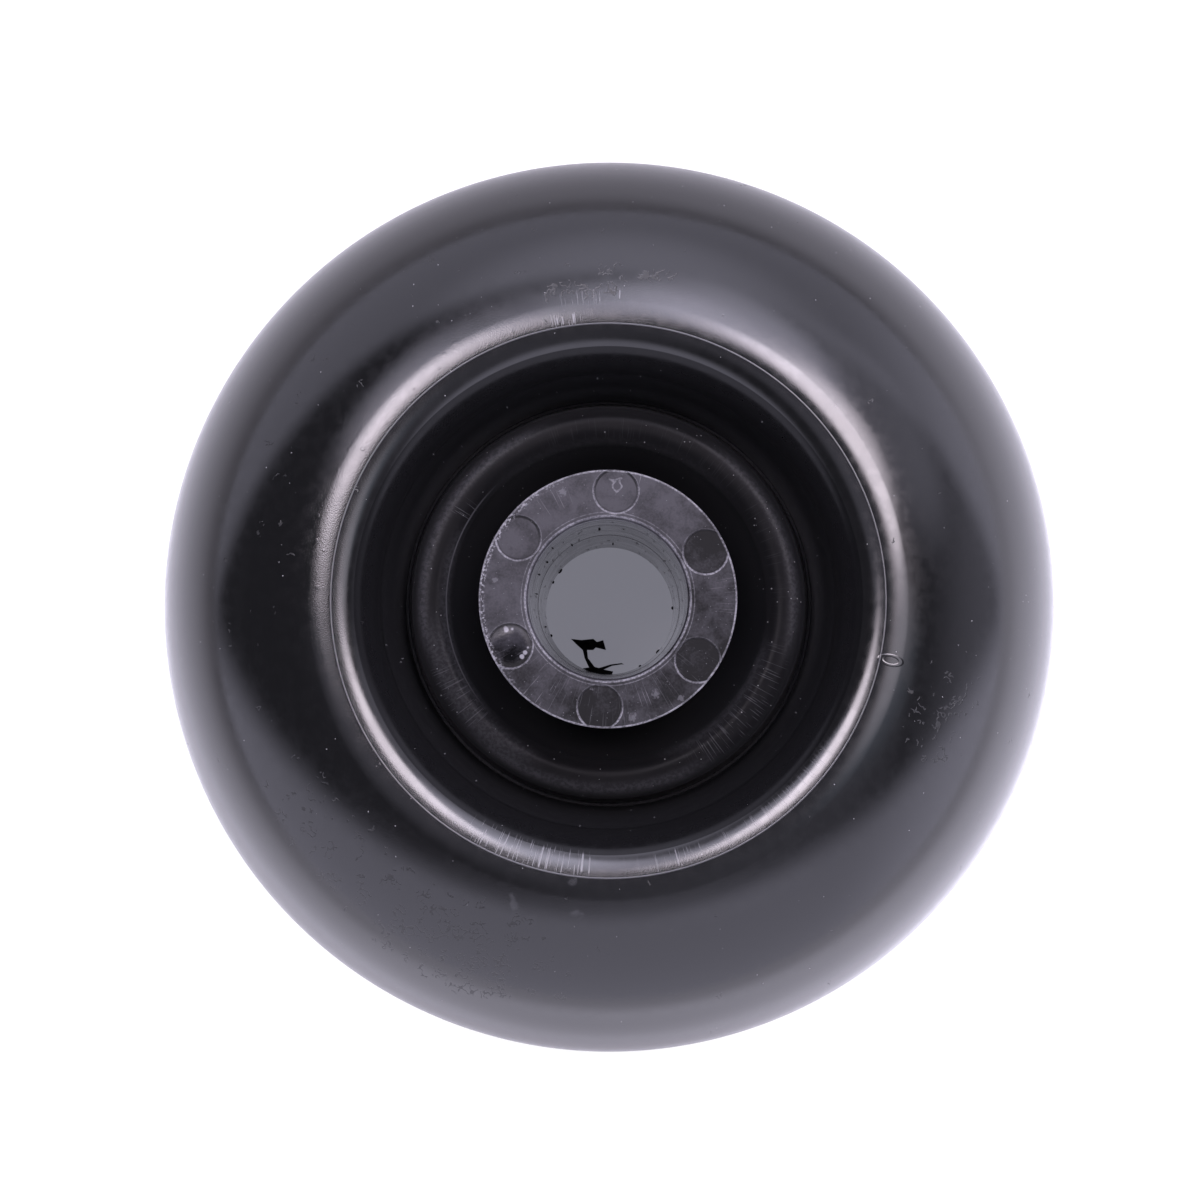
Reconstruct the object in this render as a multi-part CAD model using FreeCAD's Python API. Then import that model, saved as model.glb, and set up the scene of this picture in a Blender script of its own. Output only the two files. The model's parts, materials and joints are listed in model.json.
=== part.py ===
import FreeCAD, Part
import math
import os

# A solid plastic deck wheel that keeps a mower deck from digging into the turf.
# It stands on one hub end at z = 0, with its axis up +Z and the pin-marked hub end on top.
# All lengths are in millimetres and all angles in degrees.

# Overall sizes
wheel_diameter = 127.0
body_width = 62.0
hub_length = 70.0

# Hub and bore
bore_diameter = 20.4
bore_mouth_chamfer = 0.45
hub_diameter = 33.0
hub_edge_chamfer = 0.2
hub_draft = 1.0

# Dished side, from the hub outwards: a deep trough, a raised ring and a shallower valley, with sloping walls
# that leave only a narrow floor in the trough and in the valley
trough_width = 0.5
trough_web_thickness = 20.0
ring_inner_draft = 24.0
ring_width = 4.5
ring_web_thickness = 40.0
ring_outer_edge_chamfer = 1.2
ring_outer_draft = 8.5
valley_width = 0.5
valley_web_thickness = 24.0
dish_wall_draft = 8.0

# Lip and tread. The lip line is the fine raised witness of a joint in the mould, just inside the lip's crest.
inner_shoulder_radius = 6.4
outer_shoulder_radius = 12.0
lip_line_inset = 0.4
lip_line_width = 0.25
lip_line_height = 0.1

# Marks of the mould's ejector pins on the upper hub end, which run just past the hub's edge
pin_mark_count = 6
pin_mark_land = 0.35
pin_mark_overrun = 0.15
pin_mark_depth = 0.25
first_pin_mark_angle = 85.7

# Heights above the middle plane of the wheel
hub_height = hub_length / 2
lip_height = body_width / 2
ring_height = ring_web_thickness / 2
trough_height = trough_web_thickness / 2
valley_height = valley_web_thickness / 2
wall_angle = math.radians(dish_wall_draft)
wall_end_height = lip_height - inner_shoulder_radius * (1 - math.sin(wall_angle))


def lean(from_height, to_height, draft):
    """How far a drafted wall leans sideways between two heights."""
    return (to_height - from_height) * math.tan(math.radians(draft))


# Radii from the axis, each built on the one before
bore_radius = bore_diameter / 2
mouth_radius = bore_radius + bore_mouth_chamfer
hub_radius = hub_diameter / 2
hub_root_radius = hub_radius + lean(trough_height, hub_height, hub_draft)
ring_foot_radius = hub_root_radius + trough_width
ring_inner_radius = ring_foot_radius + lean(trough_height, ring_height, ring_inner_draft)
ring_outer_radius = ring_inner_radius + ring_width
valley_inner_radius = ring_outer_radius + lean(valley_height, ring_height, ring_outer_draft)
valley_outer_radius = valley_inner_radius + valley_width
wall_end_radius = valley_outer_radius + lean(valley_height, wall_end_height, dish_wall_draft)
crest_radius = wall_end_radius + inner_shoulder_radius * math.cos(wall_angle)
wheel_radius = wheel_diameter / 2

# The crown of the tread is one arc centred on the middle plane. Its radius follows from touching the tread
# diameter and running smoothly into the outer shoulder, which leaves the lip's crest level.
shoulder_centre_height = lip_height - outer_shoulder_radius
tread_depth = wheel_radius - crest_radius
crown_radius = (tread_depth**2 + shoulder_centre_height**2 - outer_shoulder_radius**2) / (
    2 * (tread_depth - outer_shoulder_radius)
)
crown_centre_radius = wheel_radius - crown_radius


def point(radius, height):
    """A point of the profile, in the plane that holds the wheel's axis."""
    return FreeCAD.Vector(radius, 0, hub_height + height)


def straight_runs(points):
    """Straight edges from each point to the next."""
    return [Part.LineSegment(start, end).toShape() for start, end in zip(points, points[1:])]


def chamfered_points(corners):
    """Points of a run through (radius, height, chamfer) corners, with two points at each corner cut back."""
    sharp = [point(radius, height) for radius, height, chamfer in corners]
    points = []
    for index, (radius, height, chamfer) in enumerate(corners):
        if chamfer == 0:
            points.append(sharp[index])
        else:
            back = (sharp[index - 1] - sharp[index]).normalize()
            ahead = (sharp[index + 1] - sharp[index]).normalize()
            points.append(sharp[index] + back * chamfer)
            points.append(sharp[index] + ahead * chamfer)
    return points


def hub_and_dish():
    """The side of the wheel from the bore wall over the hub and through the dish to the top of its wall."""
    corners = [
        (bore_radius, hub_height - bore_mouth_chamfer, 0),
        (mouth_radius, hub_height, 0),
        (hub_radius, hub_height, hub_edge_chamfer),
        (hub_root_radius, trough_height, 0),
        (ring_foot_radius, trough_height, 0),
        (ring_inner_radius, ring_height, 0),
        (ring_outer_radius, ring_height, ring_outer_edge_chamfer),
        (valley_inner_radius, valley_height, 0),
        (valley_outer_radius, valley_height, 0),
        (wall_end_radius, wall_end_height, 0),
    ]
    return straight_runs(chamfered_points(corners))


def inner_shoulder_point(inset):
    """The point of the inner shoulder that lies this far inside the lip's crest."""
    drop = inner_shoulder_radius - math.sqrt(inner_shoulder_radius**2 - inset**2)
    return point(crest_radius - inset, lip_height - drop)


def inner_shoulder_arc(from_inset, to_inset):
    """The stretch of the inner shoulder between two insets."""
    middle_inset = (from_inset + to_inset) / 2
    return Part.Arc(
        inner_shoulder_point(from_inset),
        inner_shoulder_point(middle_inset),
        inner_shoulder_point(to_inset),
    ).toShape()


def inner_shoulder():
    """The rounding from the dish wall up to the crest, with the fine lip line standing on it."""
    wall_inset = crest_radius - wall_end_radius
    line_start = lip_line_inset + lip_line_width / 2
    line_end = lip_line_inset - lip_line_width / 2
    foot = inner_shoulder_point(line_start)
    far_foot = inner_shoulder_point(line_end)
    line_top = far_foot.z + lip_line_height
    lip_line = [
        foot,
        FreeCAD.Vector(foot.x, 0, line_top),
        FreeCAD.Vector(far_foot.x, 0, line_top),
        far_foot,
    ]
    rising = inner_shoulder_arc(wall_inset, line_start)
    levelling = inner_shoulder_arc(line_end, 0)
    return [rising] + straight_runs(lip_line) + [levelling]


def crown_start():
    """Where the outer shoulder runs into the crown: on the line through both of their centres."""
    across = crest_radius - crown_centre_radius
    span = math.hypot(across, shoulder_centre_height)
    return point(
        crown_centre_radius + crown_radius * across / span,
        crown_radius * shoulder_centre_height / span,
    )


def outer_shoulder():
    """The arc that turns the level crest of the lip over into the tread."""
    centre = point(crest_radius, shoulder_centre_height)
    start = point(crest_radius, lip_height)
    end = crown_start()
    towards_middle = ((start - centre) + (end - centre)).normalize()
    return Part.Arc(start, centre + towards_middle * outer_shoulder_radius, end).toShape()


def wheel_body():
    """The wheel as one turned form: a closed profile swept round the axis."""
    upper = hub_and_dish() + inner_shoulder() + [outer_shoulder()]
    middle_plane = point(0, 0)
    axis = FreeCAD.Vector(0, 0, 1)
    lower = [edge.mirror(middle_plane, axis) for edge in upper]
    bore_top = point(bore_radius, hub_height - bore_mouth_chamfer)
    bore_bottom = point(bore_radius, bore_mouth_chamfer - hub_height)
    bore_wall = Part.LineSegment(bore_bottom, bore_top).toShape()
    crown_top = crown_start()
    crown_bottom = crown_top - FreeCAD.Vector(0, 0, 2 * (crown_top.z - hub_height))
    crown = Part.Arc(crown_top, point(wheel_radius, 0), crown_bottom).toShape()
    outline = Part.Wire(Part.__sortEdges__([bore_wall, crown] + upper + lower))
    return Part.Face(outline).revolve(FreeCAD.Vector(0, 0, 0), axis, 360)


def pin_marks():
    """Shallow round marks across the hub end, where ejector pins pushed the wheel out of its mould."""
    inner_reach = mouth_radius + pin_mark_land
    outer_reach = hub_radius + pin_mark_overrun
    pitch_radius = (inner_reach + outer_reach) / 2
    mark_radius = (outer_reach - inner_reach) / 2
    marks = []
    for index in range(pin_mark_count):
        angle = math.radians(first_pin_mark_angle + index * 360 / pin_mark_count)
        centre = FreeCAD.Vector(
            pitch_radius * math.cos(angle),
            pitch_radius * math.sin(angle),
            hub_length - pin_mark_depth,
        )
        marks.append(Part.makeCylinder(mark_radius, 2 * pin_mark_depth, centre))
    return marks


wheel = wheel_body().cut(pin_marks())
os.makedirs("parts", exist_ok=True)
wheel.exportStep("parts/wheel.step")

print("wheel valid:", wheel.isValid(), "solids:", len(wheel.Solids), "faces:", len(wheel.Faces))
print("volume in cubic centimetres: %.1f" % (wheel.Volume / 1000))
print("crest radius %.2f, crown radius %.2f" % (crest_radius, crown_radius))
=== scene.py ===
# %% [markdown]
# A deck wheel of a lawn mower, dressed as in a studio photo. The real wheel is one injection moulding of
# black plastic. The imported CAD solid gives its frame: the axis is the world's Z, one hub end stands on the
# floor, and the middle plane is half way up. The frame is loaded first, because everything after it is placed
# by it.

# %% Load the frame
import json
import math

import bmesh
import bpy
from mathutils import Matrix, Vector


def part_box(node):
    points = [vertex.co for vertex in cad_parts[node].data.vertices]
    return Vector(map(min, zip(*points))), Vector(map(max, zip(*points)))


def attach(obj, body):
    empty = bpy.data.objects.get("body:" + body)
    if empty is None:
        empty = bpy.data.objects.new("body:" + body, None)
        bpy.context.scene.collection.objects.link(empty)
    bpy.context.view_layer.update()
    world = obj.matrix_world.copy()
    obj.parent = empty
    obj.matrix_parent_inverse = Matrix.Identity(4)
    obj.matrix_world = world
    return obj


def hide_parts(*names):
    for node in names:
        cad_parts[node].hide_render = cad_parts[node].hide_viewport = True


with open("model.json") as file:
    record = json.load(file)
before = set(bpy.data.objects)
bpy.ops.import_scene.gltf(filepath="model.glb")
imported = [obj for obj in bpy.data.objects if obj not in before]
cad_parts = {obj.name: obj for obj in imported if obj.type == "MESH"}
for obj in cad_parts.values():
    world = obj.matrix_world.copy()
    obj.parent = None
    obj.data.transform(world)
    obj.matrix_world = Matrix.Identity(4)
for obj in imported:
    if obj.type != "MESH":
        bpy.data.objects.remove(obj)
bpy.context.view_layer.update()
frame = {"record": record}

# %% [markdown]
# The sizes of the wheel, in millimetres. The length of the hub and the bore come from the frame. The other
# sizes are those of the CAD solid, with one addition: small roundings, which a moulding has on every edge and
# which catch the light in a close view. Heights are counted from the middle plane, because both sides of the
# wheel have the same form. Each radius is built on the one before it, outwards from the axis.

# %% Sizes
MILLIMETRE = 0.001
wheel_low, wheel_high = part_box("wheel")
hub_height = (wheel_high.z - wheel_low.z) / 2 / MILLIMETRE
mounts = {mount["name"]: mount for mount in frame["record"]["mounts"]}
bore_radius = mounts["bore"]["dims"]["r_mm"]

wheel_radius = 63.5
lip_height = 31.0
hub_radius = 16.5
hub_draft = 1.0
mouth_chamfer = 0.45
trough_height = 10.0
trough_width = 0.5
ring_height = 20.0
ring_width = 4.5
ring_inner_draft = 24.0
ring_outer_draft = 8.5
valley_height = 12.0
valley_width = 0.5
wall_draft = 8.0
inner_shoulder_radius = 6.4
outer_shoulder_radius = 12.0


def lean(rise, draft):
    """How far a drafted wall leans sideways over a rise, with the draft in degrees."""
    return rise * math.tan(math.radians(draft))


wall_angle = math.radians(wall_draft)
wall_end_height = lip_height - inner_shoulder_radius * (1 - math.sin(wall_angle))
mouth_radius = bore_radius + mouth_chamfer
trough_inner_radius = hub_radius + lean(hub_height - trough_height, hub_draft)
trough_outer_radius = trough_inner_radius + trough_width
ring_inner_radius = trough_outer_radius + lean(ring_height - trough_height, ring_inner_draft)
ring_outer_radius = ring_inner_radius + ring_width
valley_inner_radius = ring_outer_radius + lean(ring_height - valley_height, ring_outer_draft)
valley_outer_radius = valley_inner_radius + valley_width
wall_end_radius = valley_outer_radius + lean(wall_end_height - valley_height, wall_draft)
crest_radius = wall_end_radius + inner_shoulder_radius * math.cos(wall_angle)
print("hub height %.2f, bore radius %.2f, crest radius %.2f" % (hub_height, bore_radius, crest_radius))

# %% [markdown]
# The wheel is a turned form, so it starts as a profile. It could be a curve with a Screw modifier, but points
# worked out from arcs keep the smooth joins of the real mould: the crown runs into the outer shoulder where
# the line through both centres meets them, and small corners are rounded between their straight runs.

# %% Profile helpers
CORNER_STEPS = 8


def arc(centre, radius, start, end, steps):
    """Points of an arc from one angle to another, in radians counted from straight outwards."""
    points = []
    for step in range(steps + 1):
        angle = start + (end - start) * step / steps
        points.append(Vector((centre[0] + radius * math.cos(angle), centre[1] + radius * math.sin(angle))))
    return points


def rounded_run(corners):
    """Points of a run through (radius, height, rounding) corners, with an arc where there is a rounding."""
    sharp = [Vector((radius, height)) for radius, height, rounding in corners]
    points = []
    for index, corner in enumerate(sharp):
        rounding = corners[index][2]
        if rounding == 0:
            points.append(corner)
            continue
        back = (sharp[index - 1] - corner).normalized()
        ahead = (sharp[index + 1] - corner).normalized()
        half_angle = back.angle(ahead) / 2
        reach = rounding / math.tan(half_angle)
        centre = corner + (back + ahead).normalized() * (rounding / math.sin(half_angle))
        first = corner + back * reach - centre
        last = corner + ahead * reach - centre
        turn = first.angle_signed(last)
        for step in range(CORNER_STEPS + 1):
            points.append(centre + Matrix.Rotation(-turn * step / CORNER_STEPS, 2) @ first)
    return points


# %% [markdown]
# From the bore outwards, the profile goes over the hub end, down into a deep trough, over a raised ring,
# through a valley and up the wall of the dish. Two cores of the mould met in the middle of the bore and left
# a fine line. The lip line is a fine raised bead just inside the crest of the lip, where two pieces of the
# mould meet. In the photo it is a thin bright circle, because a bead shows every lamp somewhere on its round
# top.

# %% Upper half of the profile
core_line_depth = 0.05
core_line_half_width = 0.15
lip_line_inset = 0.4
lip_line_half_width = 0.13
lip_line_height = 0.09
lip_line_shares = (0.12, 0.35, 0.65, 0.88)
mouth_foot_rounding = 0.12
mouth_rounding = 0.1
hub_rounding = 0.2
groove_rounding = 0.2
ring_inner_rounding = 2.6
ring_outer_rounding = 2.4
INNER_SHOULDER_STEPS = 18
CREST_STEPS = 2
OUTER_SHOULDER_STEPS = 8
CROWN_STEPS = 30

hub_and_dish = rounded_run([
    (bore_radius - core_line_depth, 0, 0),
    (bore_radius - core_line_depth, core_line_half_width, 0),
    (bore_radius, 2 * core_line_half_width, 0),
    (bore_radius, hub_height - mouth_chamfer, mouth_foot_rounding),
    (mouth_radius, hub_height, mouth_rounding),
    (hub_radius, hub_height, hub_rounding),
    (trough_inner_radius, trough_height, groove_rounding),
    (trough_outer_radius, trough_height, groove_rounding),
    (ring_inner_radius, ring_height, ring_inner_rounding),
    (ring_outer_radius, ring_height, ring_outer_rounding),
    (valley_inner_radius, valley_height, groove_rounding),
    (valley_outer_radius, valley_height, groove_rounding),
    (wall_end_radius, wall_end_height, 0),
])


def inner_shoulder_turn(inset):
    """Angle on the inner shoulder of the point that lies this far inside the crest."""
    return math.pi / 2 + math.asin(inset / inner_shoulder_radius)


inner_centre = (crest_radius, lip_height - inner_shoulder_radius)
line_start = inner_shoulder_turn(lip_line_inset + lip_line_half_width)
line_end = inner_shoulder_turn(lip_line_inset - lip_line_half_width)
shoulder_start = math.pi - wall_angle
rising_shoulder = arc(
    inner_centre, inner_shoulder_radius, shoulder_start, line_start, INNER_SHOULDER_STEPS
)[1:]
lip_line = []
for share in lip_line_shares:
    turn = line_start + (line_end - line_start) * share
    swell = lip_line_height * math.sin(math.pi * share) ** 0.5
    lip_line += arc(inner_centre, inner_shoulder_radius + swell, turn, turn, 1)[:1]
levelling_shoulder = arc(inner_centre, inner_shoulder_radius, line_end, math.pi / 2, CREST_STEPS)

shoulder_centre = (crest_radius, lip_height - outer_shoulder_radius)
tread_depth = wheel_radius - crest_radius
crown_radius = (tread_depth**2 + shoulder_centre[1] ** 2 - outer_shoulder_radius**2) / (
    2 * (tread_depth - outer_shoulder_radius)
)
crown_centre = (wheel_radius - crown_radius, 0)
crown_turn = math.atan2(shoulder_centre[1], crest_radius - crown_centre[0])
outer_shoulder = arc(
    shoulder_centre, outer_shoulder_radius, math.pi / 2, crown_turn, OUTER_SHOULDER_STEPS
)[1:]
crown = arc(crown_centre, crown_radius, crown_turn, 0, CROWN_STEPS)[1:]
upper_half = hub_and_dish + rising_shoulder + lip_line + levelling_shoulder + outer_shoulder + crown
print("points in the upper half of the profile:", len(upper_half))

# %% [markdown]
# Turning the profile gives the wheel. Blender's Spin or Screw would do it, but writing the rings directly
# keeps the mesh clean: one ring of vertices for each step round the axis, quads between them, no seam to
# merge. The lower half is the upper one turned over.

# %% Turn the wheel
STEPS_ROUND = 320


def new_object(name, data):
    """An object of this data in the scene."""
    made = bpy.data.objects.new(name, data)
    bpy.context.scene.collection.objects.link(made)
    return made


def turned_mesh(name, profile, steps_round):
    """A mesh turned from a closed profile of (radius, height) points, standing on its lower hub end."""
    vertices = []
    faces = []
    count = len(profile)
    for step in range(steps_round):
        angle = 2 * math.pi * step / steps_round
        for radius, height in profile:
            place = Vector((radius * math.cos(angle), radius * math.sin(angle), hub_height + height))
            vertices.append(place * MILLIMETRE)
        here = step * count
        there = (step + 1) % steps_round * count
        for index in range(count):
            following = (index + 1) % count
            faces.append((here + index, there + index, there + following, here + following))
    mesh = bpy.data.meshes.new(name)
    mesh.from_pydata(vertices, [], faces)
    return mesh


lower_half = [Vector((radius, -height)) for radius, height in reversed(upper_half[1:-1])]
wheel = new_object("deck_wheel", turned_mesh("deck_wheel", upper_half + lower_half, STEPS_ROUND))
print("turned wheel:", len(wheel.data.polygons), "faces")

# %% [markdown]
# Six ejector pins pushed the wheel out of its mould, and each left a shallow round mark across the hub end.
# They are real recesses, so they are cut from the mesh with a Boolean, by short discs that flare at the rim
# as a worn edge does. Two small chips in the hub's edge are cut in the same step.

# %% Cut the pin marks and chips
PIN_MARK_COUNT = 6
PIN_MARK_SIDES = 48
CHIP_SIDES = 7
first_pin_mark_angle = 85.7
pin_mark_radius = 2.83
pin_mark_pitch = 13.82
pin_mark_depth = 0.2
pin_mark_flare = 0.08
chip_depth = 0.35
chip_foot_share = 0.3
chip_top_share = 0.6
chip_overreach = 0.1
chips = (
    # angle in degrees, radius of the place, size
    (133.1, 16.62, 0.75),
    (184.2, 16.75, 0.8),
)


def round_place(radius, angle):
    """A place at this radius and angle, in degrees, from the axis."""
    return Vector((radius * math.cos(math.radians(angle)), radius * math.sin(math.radians(angle)), 0))


def add_disc(built, centre, rings, sides):
    """Add a closed stack of (radius, height) rings round an upright axis through a centre."""
    stack = []
    for radius, height in rings:
        ring = []
        for side in range(sides):
            place = centre + round_place(radius, 360 * side / sides)
            place.z = height
            ring.append(built.verts.new(place * MILLIMETRE))
        stack.append(ring)
    built.faces.new(list(reversed(stack[0])))
    built.faces.new(stack[-1])
    for lower, upper in zip(stack, stack[1:]):
        for side in range(sides):
            following = (side + 1) % sides
            built.faces.new((lower[side], lower[following], upper[following], upper[side]))


def mesh_from(built, name):
    """A finished mesh of what was built."""
    mesh = bpy.data.meshes.new(name)
    built.to_mesh(mesh)
    built.free()
    return mesh


def apply_modifiers(made):
    """Put the result of an object's modifiers into its mesh."""
    seen = made.evaluated_get(bpy.context.evaluated_depsgraph_get())
    mesh = bpy.data.meshes.new_from_object(seen)
    made.modifiers.clear()
    made.data = mesh


hub_top = 2 * hub_height
pin_mark_rings = (
    (pin_mark_radius - pin_mark_flare, hub_top - pin_mark_depth),
    (pin_mark_radius, hub_top - pin_mark_flare),
    (pin_mark_radius + 3 * pin_mark_flare, hub_top + 2 * pin_mark_flare),
)
cutting = bmesh.new()
for index in range(PIN_MARK_COUNT):
    angle = first_pin_mark_angle + index * 360 / PIN_MARK_COUNT
    add_disc(cutting, round_place(pin_mark_pitch, angle), pin_mark_rings, PIN_MARK_SIDES)
for angle, radius, size in chips:
    chip_rings = (
        (chip_foot_share * size, hub_top - chip_depth),
        (chip_top_share * size, hub_top + chip_overreach),
    )
    add_disc(cutting, round_place(radius, angle), chip_rings, CHIP_SIDES)
cutter = new_object("cutter", mesh_from(cutting, "cutter"))
cut = wheel.modifiers.new("cut", "BOOLEAN")
cut.object = cutter
cut.operation = "DIFFERENCE"
cut.solver = "EXACT"
apply_modifiers(wheel)
bpy.data.objects.remove(cutter)
print("wheel with its marks:", len(wheel.data.polygons), "faces")

# %% [markdown]
# Smooth shading would round off the flat hub end and the ring, so edges over 30 degrees are marked sharp and
# the Weighted Normal modifier lets the large faces decide the normals next to small roundings.

# %% Shade the wheel
SHARP_FROM = 30
wheel.data.shade_smooth()
wheel.data.set_sharp_from_angle(angle=math.radians(SHARP_FROM))
weighted = wheel.modifiers.new("weighted", "WEIGHTED_NORMAL")
weighted.keep_sharp = True
apply_modifiers(wheel)
print("sharp edges marked, normals weighted by face size")

# %% [markdown]
# Where the core of the mould met the lower hub end, a scrap of thin flash was torn and still hangs on the rim
# of the bore. It is a flat film, so it is an outline given a thickness, and it stays joined to the rim.

# %% Torn flash in the bore
FLASH_LOW = 0.35
FLASH_THICKNESS = 0.22
flash_outline = (
    (-4.3, -9.25), (-3.3, -9.1), (-4.0, -7.6), (-4.3, -6.3), (-5.2, -5.5), (-6.2, -4.5), (-4.5, -4.7),
    (-2.6, -4.5), (-2.0, -5.0), (-1.0, -4.7), (-0.55, -6.3), (-2.2, -5.9), (-2.6, -6.3), (-3.6, -6.3),
    (-3.45, -7.6), (-2.4, -9.0), (-1.7, -9.2), (0.3, -8.6), (2.0, -8.4), (2.35, -8.65), (2.0, -8.6),
    (0.4, -8.85), (-0.9, -9.45), (0.6, -9.75), (0.4, -10.25), (-1.7, -10.4), (-3.9, -9.8),
)


def add_film(built, outline, low, thickness):
    """Add a flat film of this outline, in millimetres, with its underside at a height."""
    corners = [built.verts.new(Vector((x, y, low)) * MILLIMETRE) for x, y in outline]
    face = built.faces.new(corners)
    grown = bmesh.ops.extrude_face_region(built, geom=[face])
    top = [item for item in grown["geom"] if isinstance(item, bmesh.types.BMVert)]
    bmesh.ops.translate(built, verts=top, vec=(0, 0, thickness * MILLIMETRE))
    bmesh.ops.recalc_face_normals(built, faces=built.faces)
    bmesh.ops.triangulate(built, faces=built.faces)


flash_build = bmesh.new()
add_film(flash_build, flash_outline, FLASH_LOW, FLASH_THICKNESS)
torn_flash = new_object("torn_flash", mesh_from(flash_build, "torn_flash"))
print("torn flash:", len(torn_flash.data.polygons), "faces")

# %% [markdown]
# Smaller bits of the same flash cling to the rim of the far opening, and a few dark specks sit on the bore
# wall. Each is a low blob half sunk in the wall: a small sphere squeezed flat against it. They share one
# mesh, because they are one kind of thing and none of them moves.

# %% Scraps on the bore wall
scraps = (
    # angle in degrees, height above the floor, width round the bore, width along the bore
    (141.0, 0.45, 1.0, 0.8),
    (153.0, 0.45, 0.5, 0.7),
    (203.0, 0.45, 0.5, 0.6),
    (2.6, 0.45, 0.6, 0.7),
    (320.0, 0.45, 0.9, 0.7),
    (299.0, 0.45, 0.5, 0.6),
    (96.9, 50.3, 0.34, 2.6),
    (136.4, 59.5, 0.22, 1.3),
    (121.3, 35.8, 0.24, 1.4),
    (86.7, 11.7, 0.26, 2.0),
    (146.2, 48.6, 0.3, 2.4),
    (158.0, 52.0, 0.26, 2.2),
    (172.0, 44.0, 0.2, 2.4),
    (196.0, 16.0, 0.3, 3.0),
)
SCRAP_STAND = 0.22


def add_scrap(built, angle, height, across, along):
    """Add a low blob on the bore wall."""
    turn = Matrix.Rotation(math.radians(angle), 4, "Z")
    place = Matrix.Translation(Vector((bore_radius, 0, height)) * MILLIMETRE)
    squeeze = Matrix.Diagonal(Vector((SCRAP_STAND, across / 2, along / 2, 1 / MILLIMETRE))) * MILLIMETRE
    bmesh.ops.create_icosphere(built, subdivisions=2, radius=1.0, matrix=turn @ place @ squeeze)


scrap_build = bmesh.new()
for angle, height, across, along in scraps:
    add_scrap(scrap_build, angle, height, across, along)
bore_scraps = new_object("bore_scraps", mesh_from(scrap_build, "bore_scraps"))
bore_scraps.data.shade_smooth()
print("scraps on the bore wall:", len(scraps))

# %% [markdown]
# The materials share a few small tools. A node is put in place with its inputs in one call, and an input can
# be a number or the output of another node. Groups get their sockets from a list, and are used in one call
# too.

# %% Node helpers
FLOAT = "NodeSocketFloat"
VECTOR = "NodeSocketVector"
LINE_FOOT = 1.3
LINE_TOP = 0.5


def put(tree, kind, inputs=None, **settings):
    """Add a node, set it up, and give or link its inputs."""
    made = tree.nodes.new(kind)
    for name, value in settings.items():
        setattr(made, name, value)
    for name, value in (inputs or {}).items():
        if isinstance(value, bpy.types.NodeSocket):
            tree.links.new(value, made.inputs[name])
        else:
            made.inputs[name].default_value = value
    return made


def sum_up(tree, operation, *values):
    """Output of a Math node on one, two or three values."""
    return put(tree, "ShaderNodeMath", dict(enumerate(values)), operation=operation).outputs[0]


def chain(tree, operation, values):
    """Output of one Math operation carried through a row of values."""
    total = values[0]
    for value in values[1:]:
        total = sum_up(tree, operation, total, value)
    return total


def vector_sum(tree, operation, inputs, output="Vector"):
    """Output of a Vector Math node."""
    return put(tree, "ShaderNodeVectorMath", inputs, operation=operation).outputs[output]


def fade(tree, value, low, high, to_low=0.0, to_high=1.0):
    """A value eased from one range into another: low and high become to_low and to_high."""
    inputs = {"Value": value, "From Min": low, "From Max": high, "To Min": to_low, "To Max": to_high}
    return put(tree, "ShaderNodeMapRange", inputs, interpolation_type="SMOOTHSTEP").outputs["Result"]


def blend(tree, share, first, second):
    """A colour between two colours."""
    return put(tree, "ShaderNodeMix", {0: share, 6: first, 7: second}, data_type="RGBA").outputs[2]


def between(tree, share, first, second):
    """A number between two numbers."""
    return put(tree, "ShaderNodeMix", {0: share, 2: first, 3: second}, data_type="FLOAT").outputs[0]


def circle(tree, distance, radius, half_width):
    """Mask of a thin line at one value, such as a circle from the distance to its centre."""
    off = sum_up(tree, "ABSOLUTE", sum_up(tree, "SUBTRACT", distance, radius))
    return fade(tree, off, LINE_FOOT * half_width, LINE_TOP * half_width)


def noise(tree, place, scale, detail, roughness=0.5, dimensions="3D"):
    """Output of a Noise texture."""
    inputs = {"Vector": place, "Scale": scale, "Detail": detail, "Roughness": roughness}
    return put(tree, "ShaderNodeTexNoise", inputs, noise_dimensions=dimensions).outputs["Fac"]


def new_group(name, inputs, outputs):
    """A shader node group with its sockets, and the outputs of its input node."""
    group = bpy.data.node_groups.new(name, "ShaderNodeTree")
    for title, kind in inputs:
        group.interface.new_socket(name=title, in_out="INPUT", socket_type=kind)
    for title, kind in outputs:
        group.interface.new_socket(name=title, in_out="OUTPUT", socket_type=kind)
    return group, put(group, "NodeGroupInput").outputs


def use(tree, group, inputs):
    """Outputs of a node group put to use in a tree."""
    return put(tree, "ShaderNodeGroup", inputs, node_tree=group).outputs


# %% [markdown]
# Wear on a wheel runs round it or out from its axis, so every material starts from the place round the axis:
# radius and height in millimetres and an angle in degrees. All of them are read from object coordinates, so
# the marks stay on the wheel when it is moved.

# %% Node group: place round the axis
round_axis, given = new_group(
    "round_the_axis",
    (("Position", VECTOR),),
    (("Place", VECTOR), ("Radius", FLOAT), ("Angle", FLOAT), ("Height", FLOAT)),
)
place = vector_sum(round_axis, "SCALE", {0: given["Position"], "Scale": 1 / MILLIMETRE})
part = put(round_axis, "ShaderNodeSeparateXYZ", {"Vector": place}).outputs
flat = put(round_axis, "ShaderNodeCombineXYZ", {"X": part["X"], "Y": part["Y"]}).outputs["Vector"]
radius = vector_sum(round_axis, "LENGTH", {0: flat}, "Value")
angle = sum_up(round_axis, "DEGREES", sum_up(round_axis, "ARCTAN2", part["Y"], part["X"]))
put(round_axis, "NodeGroupOutput", {"Place": place, "Radius": radius, "Angle": angle, "Height": part["Z"]})
print("node group:", round_axis.name)


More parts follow.
